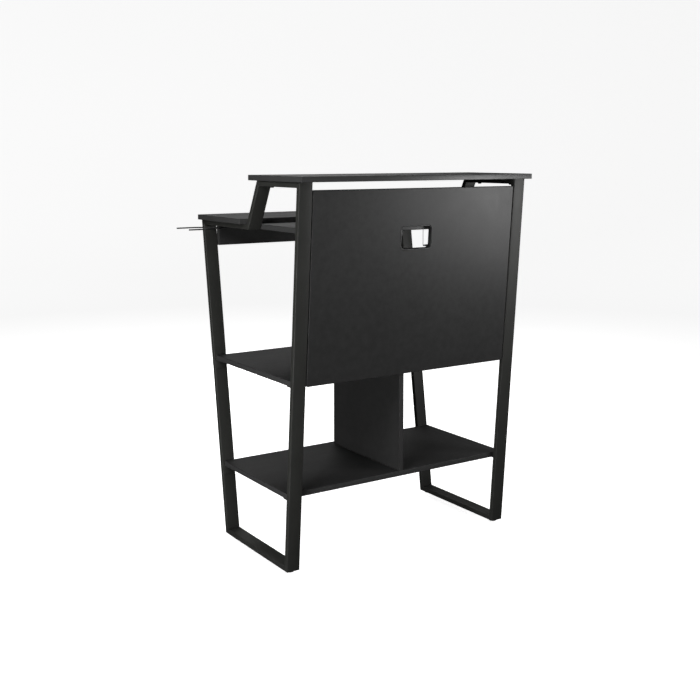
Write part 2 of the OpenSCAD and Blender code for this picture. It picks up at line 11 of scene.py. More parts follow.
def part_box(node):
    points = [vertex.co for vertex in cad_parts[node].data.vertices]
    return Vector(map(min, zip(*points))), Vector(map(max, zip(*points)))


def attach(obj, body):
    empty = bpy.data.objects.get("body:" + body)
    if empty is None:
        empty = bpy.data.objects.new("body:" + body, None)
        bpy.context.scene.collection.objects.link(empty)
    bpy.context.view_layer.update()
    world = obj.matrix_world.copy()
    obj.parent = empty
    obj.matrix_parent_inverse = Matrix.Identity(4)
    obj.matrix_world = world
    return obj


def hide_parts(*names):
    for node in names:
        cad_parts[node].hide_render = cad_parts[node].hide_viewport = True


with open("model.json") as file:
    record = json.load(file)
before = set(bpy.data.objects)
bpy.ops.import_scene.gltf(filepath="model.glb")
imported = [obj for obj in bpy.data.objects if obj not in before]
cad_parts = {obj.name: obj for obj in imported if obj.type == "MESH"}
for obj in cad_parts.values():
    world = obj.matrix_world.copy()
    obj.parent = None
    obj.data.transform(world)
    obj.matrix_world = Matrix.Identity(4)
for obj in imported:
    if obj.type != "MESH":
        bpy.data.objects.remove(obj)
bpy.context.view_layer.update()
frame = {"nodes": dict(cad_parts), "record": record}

MM = 0.001
TABLE = "table"                 # the body that everything but the glides belongs to
LEAN = math.radians(4.2)        # the rear legs and the back panel lean back by this much
UPRIGHT = Matrix.Identity(4)
LEANING = Matrix.Rotation(-LEAN, 4, "X")


# ---------------------------------------------------------------- camera and lights

CAMERA_AT = (1.7394, 2.5571, 1.1276)
CAMERA_HEADING = math.radians(-123.477)
CAMERA_TILT = math.radians(6.06)
CAMERA_LENS = 53.62
CAMERA_SHIFT = -0.12


def make_camera():
    data = bpy.data.cameras.new("camera")
    data.lens = CAMERA_LENS
    data.shift_y = CAMERA_SHIFT
    camera = bpy.data.objects.new("camera", data)
    flat = math.cos(CAMERA_TILT)
    ahead = Vector((
        math.cos(CAMERA_HEADING) * flat,
        math.sin(CAMERA_HEADING) * flat,
        -math.sin(CAMERA_TILT),
    ))
    camera.location = CAMERA_AT
    camera.rotation_mode = "QUATERNION"
    camera.rotation_quaternion = ahead.to_track_quat("-Z", "Y")
    bpy.context.collection.objects.link(camera)
    bpy.context.scene.camera = camera


def area_light(name, at, aim, size, watts, mirrored):
    """A soft light that the camera never sees; mirrored says whether glossy surfaces reflect it."""
    data = bpy.data.lights.new(name, "AREA")
    data.shape = "RECTANGLE"
    data.size, data.size_y = size
    data.energy = watts
    light = bpy.data.objects.new(name, data)
    light.location = at
    light.visible_camera = False
    light.visible_glossy = mirrored
    light.rotation_mode = "QUATERNION"
    light.rotation_quaternion = (Vector(aim) - Vector(at)).to_track_quat("-Z", "Y")
    bpy.context.collection.objects.link(light)


WORLD_STRENGTH = 0.02
TABLE_MIDDLE = (0, 0, 0.7)
# name, place, aim, size, watts, whether glossy surfaces reflect it
LIGHTS = (
    ("key", (-1.055, 1.152, 0.905), (0, 0.25, 0.85), (0.5, 0.5), 12, True),
    ("camera_low", (2.1, 2.3, 0.45), (0, -0.2, 0.6), (1.6, 0.6), 15, True),
    ("right_low", (1.9, 0.7, 0.3), (0, -0.25, 0.6), (1.2, 0.4), 22, True),
    ("right_high", (1.8, 1.0, 1.9), (0.3, -0.2, 0.6), (0.8, 0.8), 32, True),
    ("front_left", (-0.9, -2.2, 3.2), TABLE_MIDDLE, (1.8, 1.8), 37, True),
    ("overhead", (0.3, 0.2, 3.2), (0, 0, 0), (2.4, 2.4), 8, True),
    ("front_low", (-0.4, -2.9, 0.8), (0, 0, 0.6), (2.0, 1.0), 34, False),
    ("left_side", (-2.7, -0.6, 1.0), (0, -0.1, 0.6), (1.2, 1.2), 22, False),
)


def make_lights():
    world = bpy.data.worlds.new("studio")
    world.use_nodes = True
    background = world.node_tree.nodes["Background"]
    background.inputs["Color"].default_value = (1, 1, 1, 1)
    background.inputs["Strength"].default_value = WORLD_STRENGTH
    bpy.context.scene.world = world
    bpy.context.scene.view_settings.view_transform = "Standard"
    for light in LIGHTS:
        area_light(*light)


# ---------------------------------------------------------------- mesh tools

def new_object(name, bm):
    """An object made from the bmesh, with its faces turned outwards."""
    bmesh.ops.recalc_face_normals(bm, faces=bm.faces)
    mesh = bpy.data.meshes.new(name)
    bm.to_mesh(mesh)
    bm.free()
    thing = bpy.data.objects.new(name, mesh)
    bpy.context.collection.objects.link(thing)
    return thing


SMOOTH_LIMIT = math.radians(40)   # edges sharper than this show as edges


def finish_piece(thing, material, nodes, body=TABLE, smooth=SMOOTH_LIMIT):
    """Gives a piece its material, its shading and its body, and hides the CAD nodes that it stands for."""
    thing.data.materials.append(material)
    thing.data.polygons.foreach_set("use_smooth", [True] * len(thing.data.polygons))
    for edge_index, sharp in enumerate(sharp_edges(thing.data, smooth)):
        thing.data.edges[edge_index].use_edge_sharp = sharp
    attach(thing, body)
    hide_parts(*nodes)


def sharp_edges(mesh, limit):
    """For each edge, whether its two faces meet at more than the limit."""
    bm = bmesh.new()
    bm.from_mesh(mesh)
    answer = [len(e.link_faces) != 2 or e.calc_face_angle(0) > limit for e in bm.edges]
    bm.free()
    return answer


def add_ring(bm, points):
    return [bm.verts.new(p) for p in points]


def join_rings(bm, a, b):
    """A band of four-sided faces between two rings of equal length."""
    count = len(a)
    made = []
    for i in range(count):
        j = (i + 1) % count
        made.append(bm.faces.new((a[i], a[j], b[j], b[i])))
    return made


def rounded_rectangle(low, high, radius, steps):
    """Points of a rectangle with round corners, counter-clockwise, steps + 1 points to a corner."""
    corners = ((high[0], high[1], 0), (low[0], high[1], 90), (low[0], low[1], 180), (high[0], low[1], 270))
    points = []
    for x, y, start in corners:
        inward_x = -radius if x == high[0] else radius
        inward_y = -radius if y == high[1] else radius
        for k in range(steps + 1):
            angle = math.radians(start + 90 * k / steps)
            across = x + inward_x + radius * math.cos(angle)
            up = y + inward_y + radius * math.sin(angle)
            points.append((across, up))
    return points


def mark(faces, layer, value=1.0):
    for face in faces:
        face[layer] = value


def lathe(name, profile, centre, segments, closed=False):
    """A turned shape from (radius, height) points; a point on the axis becomes one vertex."""
    bm = bmesh.new()
    turn = [2 * math.pi * k / segments for k in range(segments)]
    rings = []
    for radius, height in profile:
        if radius == 0:
            rings.append([bm.verts.new(Vector(centre) + Vector((0, 0, height)))])
            continue
        rings.append(add_ring(bm, [
            Vector(centre) + Vector((radius * math.cos(a), radius * math.sin(a), height)) for a in turn
        ]))
    pairs = list(zip(rings, rings[1:]))
    if closed:
        pairs.append((rings[-1], rings[0]))
    for a, b in pairs:
        if len(a) == 1 or len(b) == 1:
            tip, ring = (a, b) if len(a) == 1 else (b, a)
            for i in range(segments):
                bm.faces.new((tip[0], ring[i], ring[(i + 1) % segments]))
        else:
            join_rings(bm, a, b)
    return new_object(name, bm)


def on_circle(centre, radius, degrees):
    angle = math.radians(degrees)
    return (centre[0] + radius * math.cos(angle), centre[1] + radius * math.sin(angle))


def arc(centre, radius, start, end, steps):
    """Points on an arc in the plane of a profile, from start to end in degrees."""
    return [on_circle(centre, radius, start + (end - start) * k / steps) for k in range(steps + 1)]


def box_in(node, turn):
    """Lowest and highest corner of a CAD node, in the frame that turn leads from."""
    back = turn.inverted()
    points = [back @ v.co for v in frame["nodes"][node].data.vertices]
    low = Vector([min(p[i] for p in points) for i in range(3)])
    high = Vector([max(p[i] for p in points) for i in range(3)])
    return low, high


# ---------------------------------------------------------------- node trees

MIX_A, MIX_B, MIX_RESULT = 6, 7, 2   # the Mix node's sockets for colours


class Nodes:
    """Short names for building one material's node tree."""

    def __init__(self, name):
        self.material = bpy.data.materials.new(name)
        self.material.use_nodes = True
        self.tree = self.material.node_tree
        self.shader = self.tree.nodes["Principled BSDF"]

    def add(self, kind, **settings):
        node = self.tree.nodes.new(kind)
        for key, value in settings.items():
            setattr(node, key, value)
        return node

    def link(self, output, socket):
        self.tree.links.new(output, socket)

    def place(self):
        """Coordinates in metres that ride with the piece."""
        return self.add("ShaderNodeTexCoord").outputs["Object"]

    def stretched(self, scale):
        mapping = self.add("ShaderNodeMapping")
        mapping.inputs["Scale"].default_value = scale
        self.link(self.place(), mapping.inputs["Vector"])
        return mapping.outputs["Vector"]

    def noise(self, per_metre, detail=3.0, roughness=0.5, vector=None):
        node = self.add("ShaderNodeTexNoise")
        node.inputs["Scale"].default_value = per_metre
        node.inputs["Detail"].default_value = detail
        node.inputs["Roughness"].default_value = roughness
        self.link(vector or self.place(), node.inputs["Vector"])
        return node.outputs["Fac"]

    def spread(self, value, low, high, to_low=0.0, to_high=1.0):
        node = self.add("ShaderNodeMapRange")
        node.inputs["From Min"].default_value = low
        node.inputs["From Max"].default_value = high
        node.inputs["To Min"].default_value = to_low
        node.inputs["To Max"].default_value = to_high
        self.link(value, node.inputs["Value"])
        return node.outputs["Result"]

    def calc(self, operation, a, b):
        node = self.add("ShaderNodeMath", operation=operation)
        for socket, value in zip(node.inputs, (a, b)):
            if isinstance(value, (int, float)):
                socket.default_value = value
            else:
                self.link(value, socket)
        return node.outputs["Value"]

    def mark(self, name):
        """A value from 0 to 1 that the mesh carries for each face."""
        return self.add("ShaderNodeAttribute", attribute_name=name).outputs["Fac"]

    def blend(self, amount, a, b):
        """A colour that goes from a to b as the amount goes from 0 to 1."""
        node = self.add("ShaderNodeMix", data_type="RGBA")
        self.link(amount, node.inputs["Factor"])
        for socket, value in ((node.inputs[MIX_A], a), (node.inputs[MIX_B], b)):
            if isinstance(value, tuple):
                socket.default_value = (*value, 1)
            else:
                self.link(value, socket)
        return node.outputs[MIX_RESULT]

    def bump(self, height, distance, strength=1.0, under=None):
        node = self.add("ShaderNodeBump")
        node.inputs["Strength"].default_value = strength
        node.inputs["Distance"].default_value = distance
        self.link(height, node.inputs["Height"])
        if under is not None:
            self.link(under, node.inputs["Normal"])
        return node.outputs["Normal"]

    def set(self, **sockets):
        for key, value in sockets.items():
            socket = self.shader.inputs[key.replace("_", " ")]
            if isinstance(value, bpy.types.NodeSocket):
                self.link(value, socket)
            else:
                socket.default_value = value


# ---------------------------------------------------------------- materials

def grey(level):
    return (level, level, level)


def make_powder_coat(name, base, worn, grain_per_metre):
    """Powder coat: a sand-like grain, cloudy gloss, and edges rubbed a little brighter."""
    n = Nodes(name)
    cloud = n.noise(9, 4)
    grain = n.noise(grain_per_metre, 2, 0.6)
    speck = n.spread(n.noise(grain_per_metre * 0.7, 1), 0.66, 0.74)
    rub = n.calc("MULTIPLY", n.mark("rim"), n.spread(n.noise(60, 5, 0.65), 0.45, 0.75))
    colour = n.blend(n.spread(cloud, 0.3, 0.7), base, tuple(1.25 * c for c in base))
    colour = n.blend(n.calc("MULTIPLY", speck, 0.3), colour, worn)
    colour = n.blend(n.calc("MULTIPLY", rub, 0.3), colour, worn)
    rough = n.calc("ADD", n.spread(cloud, 0.3, 0.7, 0.46, 0.52), n.calc("MULTIPLY", rub, -0.05))
    n.set(Base_Color=colour, Roughness=rough, Normal=n.bump(grain, 0.00012, 0.55))
    n.set(Specular_IOR_Level=0.22)
    return n.material


def make_laminate(name):
    """Black melamine: a pearl grain, faint mottling and wipe marks; the edge band is smoother."""
    n = Nodes(name)
    base, light = grey(0.021), grey(0.027)
    mottle = n.noise(55, 5, 0.6)
    wipe = n.noise(5, 3, 0.5, n.stretched((1, 3, 1)))
    pearl = n.noise(1500, 2, 0.6)
    fibre = n.noise(1, 3, 0.6, n.stretched((260, 900, 900)))
    band = n.mark("band")
    rim = n.mark("rim")
    rub = n.calc("MULTIPLY", rim, n.spread(n.noise(45, 6, 0.7), 0.5, 0.75))
    colour = n.blend(n.spread(mottle, 0.3, 0.7), base, light)
    colour = n.blend(n.calc("MULTIPLY", band, 0.7), colour, grey(0.042))
    colour = n.blend(n.calc("MULTIPLY", rub, 0.3), colour, grey(0.08))
    rough = n.calc("ADD", n.spread(wipe, 0.3, 0.7, 0.37, 0.42), n.spread(mottle, 0.3, 0.7, -0.02, 0.02))
    rough = n.calc("ADD", rough, n.calc("MULTIPLY", band, -0.05))
    skin = n.bump(pearl, 0.00008, 0.5)
    n.set(Base_Color=colour, Roughness=rough, Normal=n.bump(fibre, 0.00003, 0.3, skin))
    n.set(Specular_IOR_Level=0.2)
    return n.material


def make_plastic(name):
    """Moulded black plastic with a spark-eroded grain."""
    n = Nodes(name)
    grain = n.noise(2600, 2, 0.6)
    cloud = n.noise(40, 3)
    colour = n.blend(n.spread(cloud, 0.3, 0.7), grey(0.008), grey(0.012))
    rough = n.spread(cloud, 0.3, 0.7, 0.42, 0.52)
    n.set(Base_Color=colour, Roughness=rough, Normal=n.bump(grain, 0.00005, 0.5))
    return n.material


def make_plated(name, dark, light, metallic, rough_low, rough_high):
    """Plated steel: fine drawn lines, cloudy plating and a few darker marks."""
    n = Nodes(name)
    lines = n.noise(1, 3, 0.6, n.stretched((700, 700, 6000)))
    cloud = n.noise(180, 4, 0.6)
    colour = n.blend(n.spread(cloud, 0.3, 0.7), dark, light)
    rough = n.spread(cloud, 0.3, 0.7, rough_low, rough_high)
    n.set(Base_Color=colour, Roughness=rough, Metallic=metallic, Normal=n.bump(lines, 0.00002, 0.4))
    return n.material


def make_beech(name):
    """Plain beech: long grain lines with short dark flecks."""
    n = Nodes(name)
    grain = n.noise(1, 5, 0.65, n.stretched((900, 900, 60)))
    fleck = n.spread(n.noise(1, 2, 0.5, n.stretched((2500, 2500, 500))), 0.62, 0.70)
    colour = n.blend(n.spread(grain, 0.3, 0.7), (0.62, 0.42, 0.25), (0.78, 0.58, 0.38))
    colour = n.blend(n.calc("MULTIPLY", fleck, 0.6), colour, (0.38, 0.22, 0.12))
    rough = n.spread(grain, 0.3, 0.7, 0.5, 0.65)
    n.set(Base_Color=colour, Roughness=rough, Normal=n.bump(grain, 0.00004, 0.5))
    return n.material


def make_floor_paint(name):
    """Matt studio paper, a touch uneven, that glows enough to come out white."""
    n = Nodes(name)
    colour = n.blend(n.spread(n.noise(0.8, 3), 0.3, 0.7), grey(0.84), grey(0.86))
    n.set(Base_Color=colour, Roughness=0.85, Normal=n.bump(n.noise(400, 2), 0.0001, 0.2))
    n.set(Emission_Color=(1, 1, 1, 1), Emission_Strength=0.85)
    return n.material


PAINT = make_powder_coat("frame_paint", (0.0195, 0.0198, 0.0182), grey(0.06), 1100)
ACCESSORY = make_powder_coat("accessory_paint", grey(0.014), grey(0.06), 1600)
LAMINATE = make_laminate("board_laminate")
PLASTIC = make_plastic("black_plastic")
BLACK_SCREW = make_plated("black_screw", grey(0.012), grey(0.03), 0.6, 0.32, 0.45)
ZINC = make_plated("zinc_steel", (0.42, 0.42, 0.45), (0.60, 0.60, 0.62), 1.0, 0.26, 0.42)
BRASS = make_plated("insert_brass", (0.55, 0.38, 0.15), (0.78, 0.58, 0.26), 1.0, 0.25, 0.4)
BEECH = make_beech("dowel_wood")
BY_SLOT = {
    "frame_paint": PAINT,
    "accessory_paint": ACCESSORY,
    "board_laminate": LAMINATE,
    "black_plastic": PLASTIC,
    "black_screw": BLACK_SCREW,
    "zinc_steel": ZINC,
    "insert_brass": BRASS,
    "dowel_wood": BEECH,
}


def paint_cad_nodes():
    """Every CAD node takes its slot's material; those that a piece replaces are hidden anyway."""
    for part in frame["record"]["subparts"]:
        mesh = frame["nodes"][part["node"]].data
        mesh.materials.clear()
        mesh.materials.append(BY_SLOT[part["material_slot"]])


# ---------------------------------------------------------------- boards

EDGE_R = 0.9 * MM               # rounding of the edge band's long edges
CORNER_R = 1.2 * MM             # rounding where two bands meet
LEAST_R = 0.05 * MM             # the least that a ring further in is rounded there
BAND_T = 1.0 * MM               # thickness of the edge band
JOINT_W = 0.2 * MM              # glue line between band and laminate
JOINT_D = 0.08 * MM
EDGE_STEPS = 4
CORNER_STEPS = 4
HOLE_STEPS = 8


def board_rings(thickness):
    """(inset, height, kind of the strip that follows) for each ring, from the underside to the top."""
    under = [
        (BAND_T + JOINT_W, 0, "joint"),
        (BAND_T + JOINT_W, JOINT_D, "joint"),
        (BAND_T, JOINT_D, "joint"),
        (BAND_T, 0, "band"),
    ]
    round_low = [(EDGE_R - x, EDGE_R + z, "rim") for x, z in arc((0, 0), EDGE_R, 270, 360, EDGE_STEPS)]
    round_low[-1] = (0, EDGE_R, "band")
    half = under + round_low
    upper = [(inset, thickness - height) for inset, height, _ in reversed(half)]
    kinds = [kind for _, _, kind in reversed(half[:-1])] + ["face"]
    return half + [(inset, height, kind) for (inset, height), kind in zip(upper, kinds)]


def board(name, node, thin, turn=UPRIGHT, hole=None):
    """A laminate board with edge bands. thin is its thickness axis; hole is (low, high, radius)."""
    low, high = box_in(node, turn)
    flat = [i for i in range(3) if i != thin]
    bm = bmesh.new()
    layers = {kind: bm.faces.layers.float.new(kind) for kind in ("rim", "band", "joint")}

    def place(point, height):
        spot = Vector((0, 0, 0))
        spot[flat[0]], spot[flat[1]] = point
        spot[thin] = low[thin] + height
        return turn @ spot

    def ring(inset, height):
        radius = max(CORNER_R - inset, LEAST_R)
        corners = [(low[i] + inset, high[i] - inset) for i in flat]
        outline = rounded_rectangle(
            (corners[0][0], corners[1][0]), (corners[0][1], corners[1][1]), radius, CORNER_STEPS
        )
        return add_ring(bm, [place(p, height) for p in outline])

    rings = [(ring(inset, height), kind) for inset, height, kind in board_rings(high[thin] - low[thin])]
    for (a, kind), (b, _) in zip(rings, rings[1:]):
        faces = join_rings(bm, a, b)
        if kind in layers:
            mark(faces, layers[kind])
    ends = [rings[0][0], rings[-1][0]]
    if hole:
        hole_low, hole_high, hole_radius = hole
        outline = rounded_rectangle(hole_low, hole_high, hole_radius, HOLE_STEPS)
        faces = (0, high[thin] - low[thin])
        inner = [add_ring(bm, [place(p, height) for p in outline]) for height in faces]
        join_rings(bm, *inner)
        for loops in zip(ends, inner):
            edges = [bm.edges.get((loop[i - 1], loop[i])) for loop in loops for i in range(len(loop))]
            bmesh.ops.triangle_fill(bm, edges=edges, use_beauty=True)
    else:
        for end in ends:
            bm.faces.new(end)
    finish_piece(new_object(name, bm), LAMINATE, [node])


def make_boards():
    for node in ("top_shelf", "work_surface", "deck_board", "middle_shelf", "lower_shelf"):
        board(node + "_laminated", node, 2)
    board("front_apron_laminated", "front_apron", 1)
    board("divider_laminated", "divider", 0)


# ---------------------------------------------------------------- back panel and cable hole

LIP = 2.5 * MM                  # how far the grommet's lips cover the panel
LINER_T = 1.5 * MM
HOLE_R = 12 * MM                # corner radius of the hole in the panel
GROMMET_STEPS = 12


def make_panel():
    low, high = box_in("cable_grommet", LEANING)
    hole_low = (low.x + LIP, low.z + LIP)
    hole_high = (high.x - LIP, high.z - LIP)
    board("back_panel_laminated", "back_panel", 1, LEANING, (hole_low, hole_high, HOLE_R))
    make_grommet(hole_low, hole_high, low.y, high.y)


def make_grommet(hole_low, hole_high, front, back):
    """A moulded liner with a rounded lip on each face of the panel."""
    panel_low, panel_high = box_in("back_panel", LEANING)
    bm = bmesh.new()
    profile = []
    for face, tip in ((panel_low.y, front), (panel_high.y, back)):
        lip_t = abs(tip - face)
        out = 1 if tip > face else -1
        side = [
            (LIP, face), (LIP, face + out * lip_t * 0.35), (LIP * 0.78, face + out * lip_t * 0.8),
            (LIP * 0.5, tip), (-LINER_T * 0.3, tip), (-LINER_T * 0.75, tip - out * lip_t * 0.45),
            (-LINER_T, tip - out * lip_t * 1.6),
        ]
        profile += side if face == panel_low.y else list(reversed(side))
    profile += [(0, panel_high.y), (0, panel_low.y)]
    rings = []
    for outwards, depth in profile:
        outline = rounded_rectangle(
            (hole_low[0] - outwards, hole_low[1] - outwards),
            (hole_high[0] + outwards, hole_high[1] + outwards), HOLE_R + outwards, GROMMET_STEPS
        )
        rings.append(add_ring(bm, [LEANING @ Vector((x, depth, z)) for x, z in outline]))
    for a, b in zip(rings, rings[1:] + rings[:1]):
        join_rings(bm, a, b)
    finish_piece(new_object("cable_grommet_moulded", bm), PLASTIC, ["cable_grommet"])


# ---------------------------------------------------------------- side frames

TUBE_R = 2.0 * MM               # rounding of a tube's long edges
SEAM = 0.35 * MM                # depth of the ground weld line where two tubes meet
TUBE_STEP = 40 * MM             # from a tube's end to the ring of points beyond its seam
ON_SIDE = 0.01 * MM             # points this near to a tube's side lie on it
SAME_CORNER = 0.1 * MM          # points this near to each other are one corner
MEMBERS = ("runner", "front_leg", "side_rail", "riser_post", "top_rail", "rear_leg")


def side_outline(node):
    """A tube's lowest and highest x and the four corners of its side; the first two share a long edge."""
    low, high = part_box(node)
    points = []
    for v in frame["nodes"][node].data.vertices:
        spot = Vector((v.co.y, v.co.z))
        if abs(v.co.x - high.x) < ON_SIDE and all((spot - p).length > SAME_CORNER for p in points):
            points.append(spot)
    middle = sum(points, Vector((0, 0))) / len(points)
    points.sort(key=lambda p: math.atan2(p.y - middle.y, p.x - middle.x))
    if (points[1] - points[0]).length < (points[2] - points[1]).length:
        points = points[1:] + points[:1]
    return low.x, high.x, points


def tube(name, node):
    """A tube with rounded long edges, cut at the mitres, with a fine groove at each weld."""
    x_low, x_high, (a0, a1, b1, b0) = side_outline(node)
    across = a1 - a0
    across.normalize()
    square = Vector((-across.y, across.x))
    thickness = abs((b0 - a0).dot(square))
    width = x_high - x_low
    bm = bmesh.new()
    rim = bm.faces.layers.float.new("rim")

    def ring(start, end, shift, shrink):
        """Profile points on the mitre from start to end, moved along the tube by shift."""
        points = []
        radius = TUBE_R - shrink
        near = (shrink, shrink)
        far = (width - shrink, thickness - shrink)
        for u, v in rounded_rectangle(near, far, radius, EDGE_STEPS):
            spot = start + (end - start) * (v / thickness) + across * shift
            points.append(Vector((x_low + u, spot.x, spot.y)))
        return add_ring(bm, points)

    rings = [
        ring(a0, b0, 0, SEAM), ring(a0, b0, SEAM, 0), ring(a0, b0, TUBE_STEP, 0),
        ring(a1, b1, -TUBE_STEP, 0), ring(a1, b1, -SEAM, 0), ring(a1, b1, 0, SEAM),
    ]
    per_corner = EDGE_STEPS + 1
    for a, b in zip(rings, rings[1:]):
        faces = join_rings(bm, a, b)
        rounded = [f for i, f in enumerate(faces) if i % per_corner != per_corner - 1]
        mark(rounded, rim)
    bm.faces.new(rings[0])
    bm.faces.new(rings[-1])
    finish_piece(new_object(name, bm), PAINT, [node])


def make_frames():
    for side in ("right", "left"):
        for member in MEMBERS:
            tube(f"{side}_{member}_tube", f"{side}_{member}")


# ---------------------------------------------------------------- headphone hook

WIRE_STEP = 6                   # turn between two rings in a bend, in degrees
DOME_STEP = 15                  # turn between two rings in a domed end, in degrees
WIRE_SIDES = 24
HOOK_ROOT = 6 * MM              # half the spacing of the arms under the plate
HOOK_BEND_X = (350.5 * MM, 430 * MM)
HOOK_BEND_R = 25 * MM
HOOK_END_R = 5.5 * MM


def filleted(points, radii):
    """The line through the points with each inner corner rounded to its radius."""
    line = [points[0]]
    for before, corner, after, radius in zip(points, points[1:], points[2:], radii):
        back = (before - corner).normalized()
        on = (after - corner).normalized()
        opening = back.angle(on)
        trim = radius / math.tan(opening / 2)
        centre = corner + (back + on).normalized() * (radius / math.sin(opening / 2))
        first = corner + back * trim - centre
        last = corner + on * trim - centre
        turn = first.angle(last)
        steps = max(2, math.ceil(math.degrees(turn) / WIRE_STEP))
        for k in range(steps + 1):
            t = turn * k / steps
            line.append(centre + (first * math.sin(turn - t) + last * math.sin(t)) / math.sin(turn))
    line.append(points[-1])
    return line


def flat_wire(name, line, height, radius, node):
    """Round wire along a line in a level plane, with domed ends."""
    turns = [math.radians(a) for a in range(0, 90, DOME_STEP)]
    dome = [(radius * math.cos(a), radius * math.sin(a)) for a in turns]
    stations = []
    heading = [(b - a).normalized() for a, b in zip(line, line[1:])]
    for i, point in enumerate(line):
        ahead = (heading[max(i - 1, 0)] + heading[min(i, len(heading) - 1)]).normalized()
        stations.append((point, ahead, radius))
    start, end = stations[0], stations[-1]
    first = [(start[0] + start[1] * (radius - s), start[1], r) for r, s in reversed(dome)]
    last = [(end[0] - end[1] * (radius - s), end[1], r) for r, s in dome]
    stations = first + stations[1:-1] + last
    around = [2 * math.pi * k / WIRE_SIDES for k in range(WIRE_SIDES)]
    bm = bmesh.new()
    rings = []
    for point, ahead, r in stations:
        side = Vector((-ahead.y, ahead.x, 0))
        rings.append(add_ring(bm, [
            Vector((point.x, point.y, height)) + side * (r * math.cos(a)) + Vector((0, 0, r * math.sin(a)))
            for a in around
        ]))
    for a, b in zip(rings, rings[1:]):
        join_rings(bm, a, b)
    bm.faces.new(rings[0])
    bm.faces.new(rings[-1])
    finish_piece(new_object(name, bm), ACCESSORY, [node])


def make_hook():
    low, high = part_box("headphone_hook")
    radius = (high.z - low.z) / 2
    middle = (low.y + high.y) / 2
    arm = (high.y - low.y) / 2 - radius
    root_x = low.x + radius
    half = [(high.x, arm), (HOOK_BEND_X[1], arm), (HOOK_BEND_X[0], HOOK_ROOT), (root_x, HOOK_ROOT)]
    corners = [Vector((x, middle + y)) for x, y in half]
    corners += [Vector((x, middle - y)) for x, y in reversed(half)]
    radii = (HOOK_BEND_R, HOOK_BEND_R, HOOK_END_R, HOOK_END_R, HOOK_BEND_R, HOOK_BEND_R)
    line = filleted(corners, radii)
    height = (low.z + high.z) / 2
    flat_wire("headphone_hook_wire", line, height, radius, "headphone_hook")


# ---------------------------------------------------------------- cup holder

CUP_SIDES = 96
SHEET_R = 0.45 * MM             # rounding of the ring's and the straps' edges
STRAP_ANGLES = (37, 143, 217, 323)   # middle of each strap round the ring, in degrees
STRAP_ARC = 17                  # how much of the ring a strap takes up, in degrees
STRAP_STEPS = 8
BASE_R = 0.6 * MM               # rounding of the base's edges
DRAIN_R = 12 * MM
GROOVE_R = 27 * MM              # pressed groove in the base
GROOVE_W = 1.6 * MM
GROOVE_D = 0.5 * MM


def cup_piece(thing, node):
    finish_piece(thing, ACCESSORY, [node])


def make_cup():
    low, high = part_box("cup_ring")
    centre = ((low.x + high.x) / 2, (low.y + high.y) / 2, 0)
    outer = (high.x - low.x) / 2
    strap_low, strap_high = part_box("cup_straps")
    base_low, base_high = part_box("cup_base")
    base_r = (base_high.x - base_low.x) / 2
    sheet = outer - base_r
    section = rounded_rectangle((outer - sheet, low.z), (outer, high.z), SHEET_R, EDGE_STEPS)
    cup_piece(lathe("cup_ring_rolled", section, centre, CUP_SIDES, closed=True), "cup_ring")
    bottom, top = base_low.z + BASE_R, base_high.z - BASE_R
    rim, drain = base_r - BASE_R, DRAIN_R + BASE_R
    dish = arc((rim, bottom), BASE_R, 270, 360, EDGE_STEPS)
    dish += arc((rim, top), BASE_R, 0, 90, EDGE_STEPS)
    dish += [
        (GROOVE_R + GROOVE_W, base_high.z), (GROOVE_R + GROOVE_W / 2, base_high.z - GROOVE_D),
        (GROOVE_R - GROOVE_W / 2, base_high.z - GROOVE_D), (GROOVE_R - GROOVE_W, base_high.z),
    ]
    dish += arc((drain, top), BASE_R, 90, 180, EDGE_STEPS)
    dish += arc((drain, bottom), BASE_R, 180, 270, EDGE_STEPS)
    cup_piece(lathe("cup_base_pressed", dish, centre, CUP_SIDES, closed=True), "cup_base")
    make_straps(centre, base_r - sheet, base_r, strap_low.z, strap_high.z)


def make_straps(centre, inner, outer, bottom, top):
    """Four upright straps, curved with the ring, with eased edges."""
    bm = bmesh.new()
    ease = SHEET_R * 0.3            # halfway round the rounding
    layers = [(SHEET_R, bottom), (ease, bottom + ease), (0, bottom + SHEET_R)]
    layers += [(0, top - SHEET_R), (ease, top - ease), (SHEET_R, top)]
    for middle in STRAP_ANGLES:
        rings = []
        for inset, height in layers:
            outline = strap_outline(middle, inner + inset, outer - inset, inset)
            rings.append(add_ring(bm, [
                Vector((centre[0] + x, centre[1] + y, height)) for x, y in outline
            ]))
        for a, b in zip(rings, rings[1:]):
            join_rings(bm, a, b)
        bm.faces.new(rings[0])
        bm.faces.new(rings[-1])
    cup_piece(new_object("cup_straps_bent", bm), "cup_straps")


def strap_outline(middle, inner, outer, inset):
    """Plan of one strap: its outer arc, a blunt end, its inner arc and the other blunt end."""
    half = STRAP_ARC / 2 - math.degrees(inset / outer)
    ease = math.degrees(SHEET_R / outer)
    between = (inner + outer) / 2
    points = arc((0, 0), outer, middle - half + ease, middle + half - ease, STRAP_STEPS)
    points.append(on_circle((0, 0), between, middle + half))
    points += arc((0, 0), inner, middle + half - ease, middle - half + ease, STRAP_STEPS)
    points.append(on_circle((0, 0), between, middle - half))
    return points


# ---------------------------------------------------------------- levelling glides

PAD_ROUND = 1.0 * MM            # rounding of the pad's rim
PAD_STEPS = 4
RIB_D = 0.25 * MM               # depth of the hollow inside the moulded ring under the pad
RIB_IN, RIB_OUT = 0.55, 0.6     # where that ring's slope starts and ends, in radii of the pad
STUD_R = 4 * MM
STUD_EDGE = 0.3 * MM            # chamfers where stud and pad meet, and plain length above them
STUD_TIP = 0.8 * MM             # length at the stud's top that no turn of the thread reaches
THREAD_PITCH = 1.25 * MM
THREAD_DEPTH = 0.55 * MM
GLIDE_SIDES = 48
GLIDE_SMOOTH = math.radians(30)


